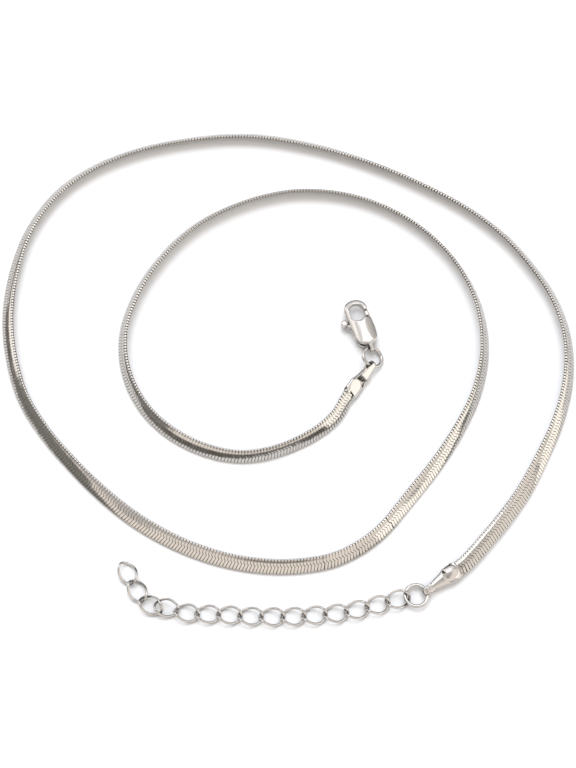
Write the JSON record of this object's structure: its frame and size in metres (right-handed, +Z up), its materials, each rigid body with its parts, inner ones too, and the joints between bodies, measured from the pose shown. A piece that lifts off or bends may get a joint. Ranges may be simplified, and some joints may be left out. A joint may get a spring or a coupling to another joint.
{
  "type": "flat snake chain necklace",
  "caption": "Flat snake chain necklace laid out in a spiral, with folded end caps, jump rings, a lobster clasp and a short extender of curb links.",
  "frame": {"origin": "on the surface the necklace lies on, under the middle of its outline", "axes": "+Z up from the surface, +X along the longer extent of the spiral, with the extender on the -Y side and the clasp near the middle"},
  "size_m": [0.0976, 0.0917, 0.0025],
  "materials": {
    "chain": "rhodium-plated brass, polished",
    "caps": "rhodium-plated brass sheet, polished",
    "rings": "rhodium-plated brass wire, polished",
    "clasp": "rhodium-plated cast brass, polished",
    "clasp_lever": "rhodium-plated cast brass, polished",
    "extender": "rhodium-plated brass wire, polished"
  },
  "bodies": {
    "necklace": {"snake_chain": "chain", "end_cap_clasp": "caps", "end_cap_extender": "caps", "jump_ring_clasp": "rings", "jump_ring_extender": "rings", "clasp_body": "clasp", "extender_link_01": "extender", "extender_link_02": "extender", "extender_link_03": "extender", "extender_link_04": "extender", "extender_link_05": "extender", "extender_link_06": "extender", "extender_link_07": "extender", "extender_link_08": "extender", "extender_link_09": "extender", "extender_link_10": "extender", "extender_link_11": "extender", "extender_link_12": "extender", "extender_link_13": "extender", "extender_link_14": "extender", "extender_link_15": "extender"},
    "lever": {"clasp_lever": "clasp_lever"}
  },
  "joints": [
    {"name": "lever_hinge", "type": "hinge", "parent": "necklace", "child": "lever", "pos_m": [0.01413, 0.00701, 0.0012], "axis": [0, 0, 1], "range_deg": [0, 30], "stiffness_Nm_per_rad": 0.0005}
  ]
}
